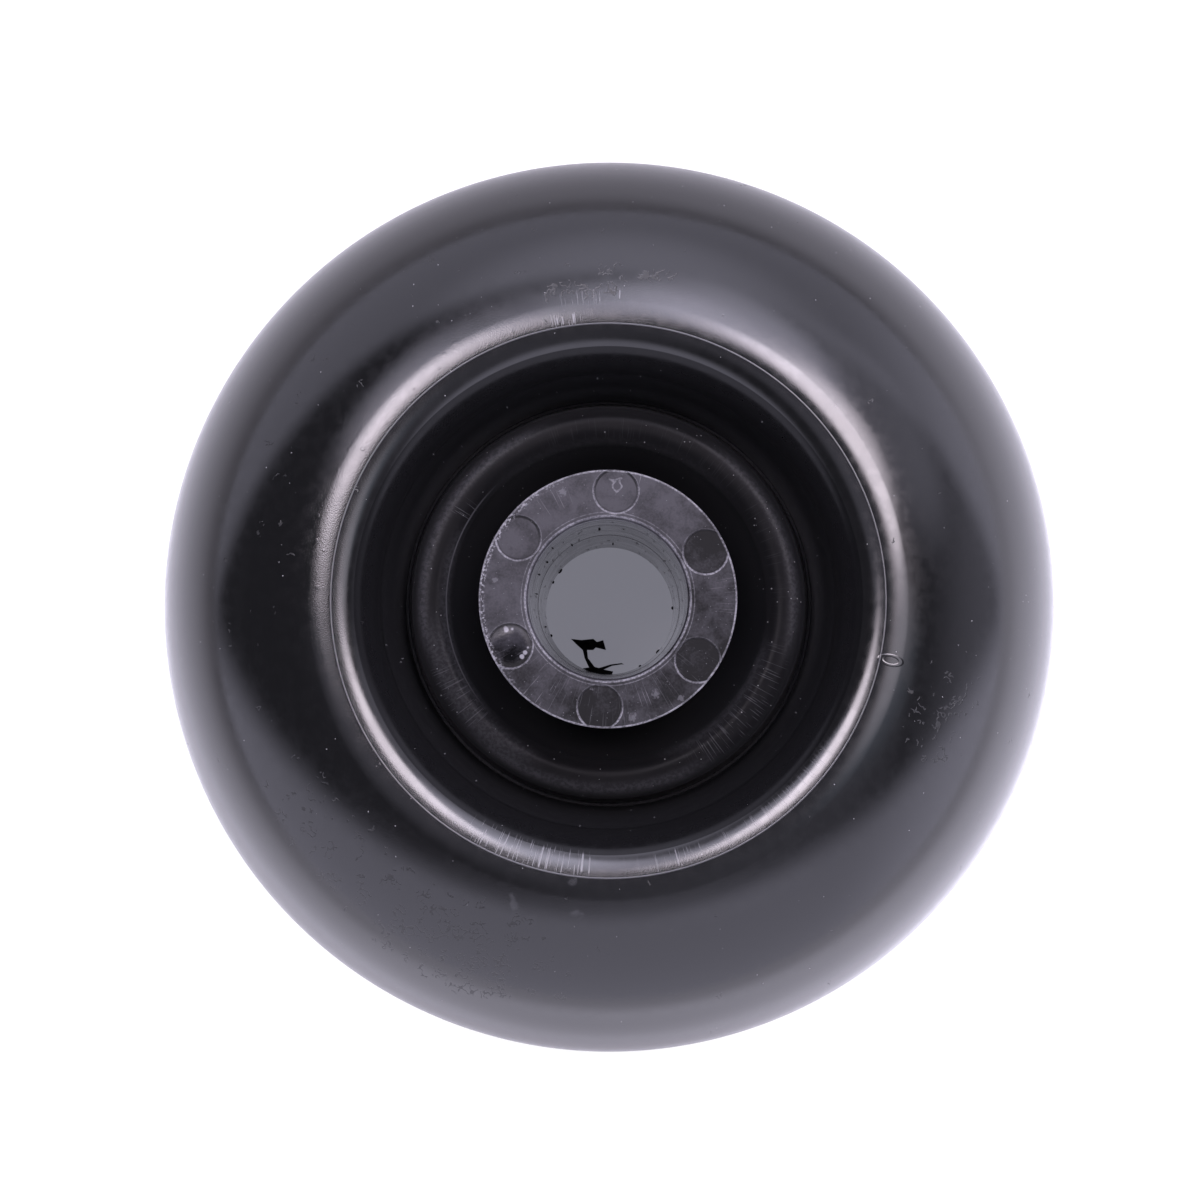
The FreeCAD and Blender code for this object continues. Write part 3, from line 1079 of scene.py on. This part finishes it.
# angle, half angle, from radius, to radius, softness
GLINT_STRETCH = (168.0, 50.0, 15.9, 16.8, 0.25)
GLINT_GRAIN = (0.55, 0.8)
hub_lines = (
    # radius, half width, strength
    (hub_radius - 0.1, 0.15, 1.0),
    (mouth_radius - 0.08, 0.14, 1.0),
    (mouth_radius + 0.42, 0.07, 0.4),
)
LOOP_STRENGTH = 0.5
BROKEN_BY_GRAIN = (0.1, 0.75, 0.4, 1.0)
BROKEN_BY_CLOUD = (0, 1, 0.55, 1.0)
HUB_SMUDGE_STRENGTH = 0.25
SPECKLE_SPACING = 0.33
SPECKLE_AMOUNT = 0.05
SPECKLE_STRENGTH = 0.4
scratched = strokes_across(tree, at, hub_strokes, *HUB_STROKE)
# Painted glints along the chipped left edge of the hub.
glints = stretch(tree, at, *GLINT_STRETCH)
glints = sum_up(tree, "MULTIPLY", glints, fade(tree, skin["Grain"], *GLINT_GRAIN))
edges = [rim_wear_and_highlight, sum_up(tree, "MULTIPLY", loop, LOOP_STRENGTH)]
for line_radius, half_width, strength in hub_lines:
    edges.append(sum_up(tree, "MULTIPLY", circle(tree, at["Radius"], line_radius, half_width), strength))
broken = sum_up(
    tree,
    "MULTIPLY",
    fade(tree, skin["Grain"], *BROKEN_BY_GRAIN),
    fade(tree, skin["Cloud"], *BROKEN_BY_CLOUD),
)
speckle = grains(tree, at, SPECKLE_SPACING, SPECKLE_AMOUNT)
wear_and_highlights = chain(tree, "MAXIMUM", (
    scratched,
    glints,
    sum_up(tree, "MULTIPLY", chain(tree, "MAXIMUM", edges), broken),
    sum_up(tree, "MULTIPLY", spots(tree, at, skin["Grain"], hub_smudges), HUB_SMUDGE_STRENGTH),
    spots(tree, at, skin["Cloud"], pin_glints),
    sum_up(tree, "MULTIPLY", speckle, SPECKLE_STRENGTH),
))
print("satin hub end:", len(hub_strokes), "stretches of strokes,", len(hub_lines), "worn lines")

# %% [markdown]
# The grey itself is a haze, palest at the upper left and dark inside the lower pin marks, with grain and
# clouds of two sizes in it. One pin mark looks melted: it is smoother than the rest and has soft waves in it.

# %% Satin hub end: haze and relief
PALE_SIDE = (-0.6, 0.8, 0.0)
PALE_SIDE_HAZE = (-14.0, 16.0, -0.3, 0.4)
DARK_PIN_SIDE = (8.0, 2.0)
DARK_PIN_HAZE = -0.4
CLOUD_HAZE = 0.45
GRAIN_HAZE = 0.28
MOTTLED_HAZE = 0.3
HAZELESS_ROUGHNESS = 0.62
HAZY_ROUGHNESS = 0.5
MELTED_ROUGHNESS = 0.15
HUB_GRAIN = 3.5
MELTED_HEIGHT = 200.0
HUB_IOR = 1.45
HUB_SPECULAR = 0.22
to_upper_left = vector_sum(tree, "DOT_PRODUCT", {0: at["Place"], 1: PALE_SIDE}, "Value")
dark_pins = sum_up(tree, "MULTIPLY", in_pin, fade(tree, to_upper_left, *DARK_PIN_SIDE))
haze = chain(tree, "ADD", (
    sum_up(tree, "MULTIPLY", skin["Cloud"], CLOUD_HAZE),
    sum_up(tree, "MULTIPLY", skin["Grain"], GRAIN_HAZE),
    sum_up(tree, "MULTIPLY", mottled["Cloud"], MOTTLED_HAZE),
    fade(tree, to_upper_left, *PALE_SIDE_HAZE),
    sum_up(tree, "MULTIPLY", dark_pins, DARK_PIN_HAZE),
))
# Painted shade on the upper inner wall of each pin mark darkens the haze.
haze = sum_up(tree, "MULTIPLY", haze, sum_up(tree, "SUBTRACT", 1.0, painted_rim_shade))
colour = blend(tree, wear_and_highlights, blend(tree, haze, HUB_DARK, HUB_PALE), HUB_WEAR_AND_GLINT)
roughness = between(tree, haze, HAZELESS_ROUGHNESS, HAZY_ROUGHNESS)
roughness = between(tree, melted, roughness, MELTED_ROUGHNESS)
height = chain(tree, "ADD", (
    sum_up(tree, "MULTIPLY", skin["Grain"], HUB_GRAIN),
    chain(tree, "MULTIPLY", (mottled["Cloud"], melted, MELTED_HEIGHT)),
))
dress(tree, shader, colour, roughness, height, HUB_IOR, HUB_SPECULAR)
print("satin hub end:", len(tree.nodes), "nodes")

# %% [markdown]
# The bore wall was drawn off a polished core and then rubbed by the axle. Seen along its length it mirrors
# the floor, with fine streaks along the bore and a few faint lines round it. Its base is a painted mid grey,
# far paler than the black moulding: painted light that brightens the wall.

# %% Bore wall
# Painted light: the bore wall's base is a mid grey, far paler than the black of the moulding.
BORE_PAINTED_GREY = (0.105, 0.105, 0.115, 1)
BORE_STREAK = (0.012, 0.012, 0.013, 1)
BORE_SKIN = 0.6
BORE_GRAIN = 1.0
BORE_ROUGHNESS = (0, 1, 0.13, 0.18)
DARKENED_ROUGHNESS = 0.3
STREAKS_ROUND = 0.25
STREAKS_ALONG = 0.12
STREAK_AMOUNT = 0.35
STREAK_STRENGTH = 0.6
SPECK_SPACING = 1.6
SPECK_AMOUNT = 0.06
bore_bands = (
    # height above the floor, half width, strength
    (66.6, 0.3, 1.0),
    (63.6, 0.25, 0.7),
    (58.0, 0.35, 0.8),
    (46.0, 0.4, 0.5),
)
bore_wall, tree, shader, at = new_material("bore_wall")
skin = use(tree, moulded_skin, {"Place": at["Place"], "Size": BORE_SKIN})
streaks = use(tree, fine_scratches, {
    "Across": sum_up(tree, "MULTIPLY", at["Angle"], STREAKS_ROUND),
    "Along": sum_up(tree, "MULTIPLY", at["Height"], STREAKS_ALONG),
    "Amount": STREAK_AMOUNT,
})["Mask"]
marks = [sum_up(tree, "MULTIPLY", streaks, STREAK_STRENGTH)]
for band_height, half_width, strength in bore_bands:
    marks.append(sum_up(tree, "MULTIPLY", circle(tree, at["Height"], band_height, half_width), strength))
darkened = chain(tree, "MAXIMUM", marks)
specks = grains(tree, at, SPECK_SPACING, SPECK_AMOUNT)
colour = blend(tree, sum_up(tree, "MAXIMUM", darkened, specks), BORE_PAINTED_GREY, BORE_STREAK)
roughness = sum_up(
    tree,
    "ADD",
    fade(tree, skin["Cloud"], *BORE_ROUGHNESS),
    sum_up(tree, "MULTIPLY", darkened, DARKENED_ROUGHNESS),
)
dress(tree, shader, colour, roughness, sum_up(tree, "MULTIPLY", skin["Grain"], BORE_GRAIN))
print("bore wall:", len(tree.nodes), "nodes")

# %% [markdown]
# Torn film is dull and black, a little paler where it was stretched.

# %% Torn film
FILM_COLOUR = (0.0025, 0.0025, 0.0028, 1)
STRETCHED_COLOUR = (0.006, 0.006, 0.0065, 1)
FILM_SKIN = 0.4
FILM_GRAIN = 8.0
FILM_ROUGHNESS = (0, 1, 0.5, 0.7)
FILM_IOR = 1.5
FILM_SPECULAR = 0.2
film, tree, shader, at = new_material("torn_film")
skin = use(tree, moulded_skin, {"Place": at["Place"], "Size": FILM_SKIN})
colour = blend(tree, skin["Cloud"], FILM_COLOUR, STRETCHED_COLOUR)
roughness = fade(tree, skin["Grain"], *FILM_ROUGHNESS)
height = sum_up(tree, "MULTIPLY", skin["Grain"], FILM_GRAIN)
dress(tree, shader, colour, roughness, height, FILM_IOR, FILM_SPECULAR)
print("torn film:", len(tree.nodes), "nodes")

# %% [markdown]
# Each face of the wheel gets its finish by where it lies: the bore wall, the two hub ends, the dish up to the
# end of its wall, the foot of the inner shoulder, and gloss elsewhere.

# %% Give the faces their finish
FACE_ALLOWANCE = 0.02
HUB_END_DEPTH = 0.5
wheel_finishes = (gloss, lip_foot, dish, satin, bore_wall)
for material in wheel_finishes:
    wheel.data.materials.append(material)
for face in wheel.data.polygons:
    place = face.center / MILLIMETRE
    reach = math.hypot(place.x, place.y)
    from_middle = abs(place.z - hub_height)
    if reach < bore_radius + FACE_ALLOWANCE:
        finish = bore_wall
    elif reach < hub_radius + FACE_ALLOWANCE and from_middle > hub_height - HUB_END_DEPTH:
        finish = satin
    elif reach < wall_end_radius:
        finish = dish
    elif reach < wall_end_radius + LIP_FOOT_WIDTH:
        finish = lip_foot
    else:
        finish = gloss
    face.material_index = wheel_finishes.index(finish)
for scrap in (torn_flash, bore_scraps):
    scrap.data.materials.append(film)
for index, material in enumerate(wheel_finishes):
    count = sum(face.material_index == index for face in wheel.data.polygons)
    print(material.name, "on", count, "faces")

# %% [markdown]
# The floor is pale and plain. Its own glow for the camera and for reflections, on top of the light that falls
# on it, makes the white ground of a product photo without more light on the wheel. Where the wheel keeps that
# light off, only the glow is left, so the floor keeps a soft shadow. Under the wheel it gets hardly any
# light, so the glow falls off towards the axis, and the bore shows a quiet bluish grey. What the wheel
# mirrors of the floor is brighter to the right and front, dimmer behind, and shaded close to the wheel, most
# of all in front on the left.

# %% Floor
FLOOR_HALF = 3.0
FLOOR_DROP = 0.00005
FLOOR_COLOUR = (0.25, 0.25, 0.25, 1)
DIRECT_GLOW = 0.8
SHADED_SHARE = 0.45
SHADED_POWER = 4.0
CLOSE_SHADE = 0.55
SHADIEST_SIDE = (-0.35, -0.94, 0.0)
MIRRORED_TINT = (1.0, 0.975, 1.16, 1)
PLAIN_TINT = (1, 1, 1, 1)
BORE_GLOW = (0.216, 0.215, 0.257, 1)
RIGHT_TO_FRONT = 0.7
# Fades: from, to and, where it isn't nought to one, the values there. Places and distances are in metres.
SLANT_FADE = (-0.6, 0.5, 0.22, 1.72)
NEARNESS_FADE = (0.08, 0.6, 1.2, 0.66)
SIDE_FADE = (-0.4, 0.9, 1.12, 0.7)
SIDE_REACH = (0.45, 0.15)
SHADED_OUT_TO = (0.3, 0.12)
SHADED_FROM = (0.05, 0.08)
CLOSE_REACH = (0.125, 0.085)
CLOSE_SIDE_FADE = (0.3, 0.95, 0.3, 1.0)
BORE_REACH = (0.011, 0.03)
floor_mesh = bpy.data.meshes.new("floor")
floor_corners = []
for x, y in ((-1, -1), (1, -1), (1, 1), (-1, 1)):
    floor_corners.append((x * FLOOR_HALF, y * FLOOR_HALF, -FLOOR_DROP))
floor_mesh.from_pydata(floor_corners, [], [(0, 1, 2, 3)])
floor = new_object("floor", floor_mesh)

paper = bpy.data.materials.new("floor_paper")
paper.use_nodes = True
tree = paper.node_tree
tree.nodes.clear()
position = put(tree, "ShaderNodeTexCoord").outputs["Object"]
across = put(tree, "ShaderNodeSeparateXYZ", {"Vector": position}).outputs
reach = vector_sum(tree, "LENGTH", {0: position}, "Value")
light_path = put(tree, "ShaderNodeLightPath").outputs
to_the_right = sum_up(tree, "SUBTRACT", sum_up(tree, "MULTIPLY", across["X"], RIGHT_TO_FRONT), across["Y"])
slant = fade(tree, to_the_right, *SLANT_FADE)
side_share = sum_up(tree, "DIVIDE", across["Y"], reach)
shaded = chain(tree, "MULTIPLY", (
    sum_up(tree, "POWER", sum_up(tree, "ABSOLUTE", side_share), SHADED_POWER),
    fade(tree, reach, *SHADED_OUT_TO),
    fade(tree, reach, *SHADED_FROM),
    SHADED_SHARE,
))
nearness = fade(tree, reach, *NEARNESS_FADE)
side_light = fade(tree, side_share, *SIDE_FADE)
towards_shade = sum_up(
    tree,
    "DIVIDE",
    vector_sum(tree, "DOT_PRODUCT", {0: position, 1: SHADIEST_SIDE}, "Value"),
    reach,
)
close_shade = chain(tree, "MULTIPLY", (
    fade(tree, reach, *CLOSE_REACH),
    fade(tree, towards_shade, *CLOSE_SIDE_FADE),
    CLOSE_SHADE,
))
mirrored = chain(tree, "MULTIPLY", (
    slant,
    nearness,
    between(tree, fade(tree, reach, *SIDE_REACH), 1.0, side_light),
    sum_up(tree, "SUBTRACT", 1.0, shaded),
    sum_up(tree, "SUBTRACT", 1.0, close_shade),
))
direct = sum_up(tree, "MAXIMUM", light_path["Is Camera Ray"], light_path["Is Transmission Ray"])
strength = sum_up(
    tree,
    "MAXIMUM",
    sum_up(tree, "MULTIPLY", direct, DIRECT_GLOW),
    sum_up(tree, "MULTIPLY", mirrored, light_path["Is Glossy Ray"]),
)
open_glow = blend(tree, direct, MIRRORED_TINT, PLAIN_TINT)
glow = blend(tree, fade(tree, reach, *BORE_REACH), BORE_GLOW, open_glow)
plain = put(tree, "ShaderNodeBsdfDiffuse", {"Color": FLOOR_COLOUR})
shine = put(tree, "ShaderNodeEmission", {"Color": glow, "Strength": strength})
both = put(tree, "ShaderNodeAddShader", {0: plain.outputs[0], 1: shine.outputs[0]})
put(tree, "ShaderNodeOutputMaterial", {"Surface": both.outputs[0]})
floor.data.materials.append(paper)
print("floor: %.1f m across, %d nodes" % (2 * FLOOR_HALF, len(tree.nodes)))

# %% [markdown]
# Black gloss plastic is seen almost only by what it reflects, so the light is laid out as what the wheel
# should see around it: two large soft boxes up left and right, a bright table in front, a pale wall behind,
# dim sides. It could be lamps and cards. A world made of soft round patches does the same with no hard edges,
# and each patch is one line: where it is, how wide, how bright. Patches of one colour are added up before
# they are tinted.

# %% Studio light
WORLD_BASE = (0.12, 0.118, 0.136)
WARM = (1.0, 0.9, 1.0)
COOL = (0.98, 0.955, 1.18)
BLUE = (0.75, 0.95, 1.2)
WHITE = (1, 1, 1, 1)
studio_patches = (
    # name, azimuth, angle from straight up, full out to, gone by, brightness, colour
    ("left_soft_box", 137, 21, 5, 13, 14.2, WARM),
    ("left_box_tail", 130, 32, 3, 14, 2.8, COOL),
    ("right_soft_box", 40, 27, 7, 15, 12.0, WARM),
    ("right_box_top", 67, 38, 3, 19, 2.7, COOL),
    ("right_box_tail", 35, 50, 5, 22, 0.9, COOL),
    ("right_box_end", 4, 24, 4, 16, 2.2, WARM),
    ("between_boxes", 84, 28, 4, 19, 2.7, COOL),
    ("table", 271, 125.5, 79.5, 95, 1.38, COOL),
    ("pale_wall", 90, 139, 84, 94, 1.0, COOL),
    ("top_of_wall", 85, 47, 5, 35, 0.8, COOL),
    ("right_wall", 0, 100, 20, 60, 0.6, COOL),
    ("blue_screen", 347, 27, 5, 15, 0.5, BLUE),
    ("front_fill", 310, 25, 8, 32, 0.28, COOL),
    ("left_fill", 190, 17, 3, 17, 0.5, COOL),
)
patch_group, given = new_group(
    "soft_patch",
    (("Direction", VECTOR), ("Towards", VECTOR), ("Gone", FLOAT), ("Full", FLOAT), ("Brightness", FLOAT)),
    (("Light", FLOAT),),
)
facing = vector_sum(patch_group, "DOT_PRODUCT", {0: given["Direction"], 1: given["Towards"]}, "Value")
put(patch_group, "NodeGroupOutput", {
    "Light": fade(patch_group, facing, given["Gone"], given["Full"], 0.0, given["Brightness"]),
})

world = bpy.data.worlds.new("studio")
world.use_nodes = True
bpy.context.scene.world = world
tree = world.node_tree
tree.nodes.clear()
direction = put(tree, "ShaderNodeTexCoord").outputs["Generated"]
lights = {WARM: [], COOL: [], BLUE: []}
for name, azimuth, polar, full, gone, brightness, colour in studio_patches:
    towards = round_place(math.sin(math.radians(polar)), azimuth)
    towards.z = math.cos(math.radians(polar))
    patch = use(tree, patch_group, {
        "Direction": direction,
        "Towards": towards,
        "Gone": math.cos(math.radians(gone)),
        "Full": math.cos(math.radians(full)),
        "Brightness": brightness,
    })
    lights[colour].append(patch["Light"])
total = WORLD_BASE
for colour, same_colour in lights.items():
    light = vector_sum(tree, "SCALE", {0: colour, "Scale": chain(tree, "ADD", same_colour)})
    total = vector_sum(tree, "ADD", {0: light, 1: total})
studio = put(tree, "ShaderNodeBackground", {"Color": total, "Strength": 1.0})
white = put(tree, "ShaderNodeBackground", {"Color": WHITE, "Strength": 1.0})
camera_ray = put(tree, "ShaderNodeLightPath").outputs["Is Camera Ray"]
chosen = put(tree, "ShaderNodeMixShader", {0: camera_ray, 1: studio.outputs[0], 2: white.outputs[0]})
put(tree, "ShaderNodeOutputWorld", {"Surface": chosen.outputs[0]})
print("studio patches:", ", ".join(row[0] for row in studio_patches))

# %% [markdown]
# The camera looks down the bore from just below the axis, as the photo does: the far end of the bore sits
# lower in the picture than the near end. Its place and lens follow from how the bore and hub shrink with
# depth.

# %% Camera
SENSOR_WIDTH = 36.0
PHOTO_WIDTH = 1200
FOCAL_PIXELS = 2057.0
NEAREST_SEEN = 0.01
TILT_LEFT = 0.00735
TILT_UP = 0.02755
camera_place = Vector((0.92, -7.37, 332.0)) * MILLIMETRE
camera_forward = Vector((-TILT_LEFT, TILT_UP, -1.0)).normalized()
camera_right = Vector((1.0, 0.0, -TILT_LEFT)).normalized()
camera_up = camera_right.cross(camera_forward)
camera_data = bpy.data.cameras.new("camera")
camera_data.sensor_width = SENSOR_WIDTH
camera_data.lens = SENSOR_WIDTH * FOCAL_PIXELS / PHOTO_WIDTH
camera_data.clip_start = NEAREST_SEEN
camera = new_object("camera", camera_data)
turned = Matrix((camera_right, camera_up, -camera_forward)).transposed().to_4x4()
camera.matrix_world = Matrix.Translation(camera_place) @ turned
bpy.context.scene.camera = camera
bpy.context.scene.view_settings.view_transform = "Standard"
print("lens: %.1f mm" % camera_data.lens)

# %% [markdown]
# Last, the pieces are joined to the frame: all ride on its one body, and the turned wheel stands for the CAD
# solid.

# %% Join to the frame
for piece in (wheel, torn_flash, bore_scraps):
    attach(piece, "root")
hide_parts("wheel")
